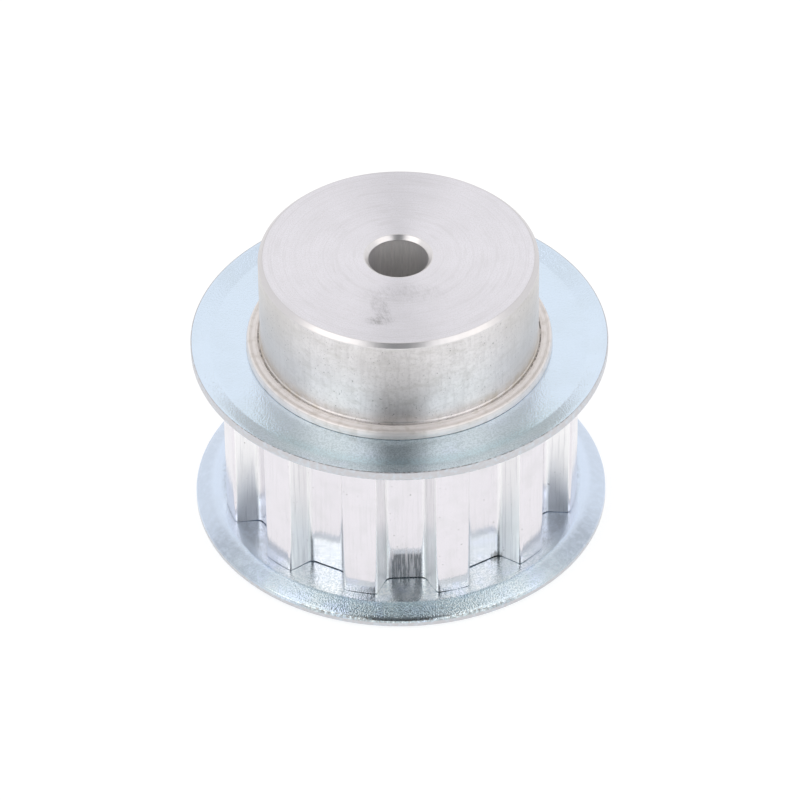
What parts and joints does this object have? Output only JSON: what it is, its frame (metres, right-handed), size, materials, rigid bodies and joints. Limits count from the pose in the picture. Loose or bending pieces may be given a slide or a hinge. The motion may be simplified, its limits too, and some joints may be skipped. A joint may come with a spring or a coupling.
{
  "type": "timing belt pulley",
  "caption": "Toothed pulley for a metric trapezoid timing belt, flanged on both sides, with a hub and a plain pilot bore.",
  "frame": {"origin": "on the bore's axis, in the plane of the open side's end face", "axes": "+Z along the bore axis, from the open side to the hub; a tooth gap faces -Y"},
  "size_m": [0.042, 0.042, 0.031],
  "materials": {
    "machined_aluminium": "machined bright, with fine turning marks",
    "zinc_plated_steel": "bright bluish zinc plating on pressed sheet"
  },
  "bodies": {
    "root": {"pulley_body": "machined_aluminium", "hub_side_flange": "zinc_plated_steel", "open_side_flange": "zinc_plated_steel"}
  },
  "joints": []
}
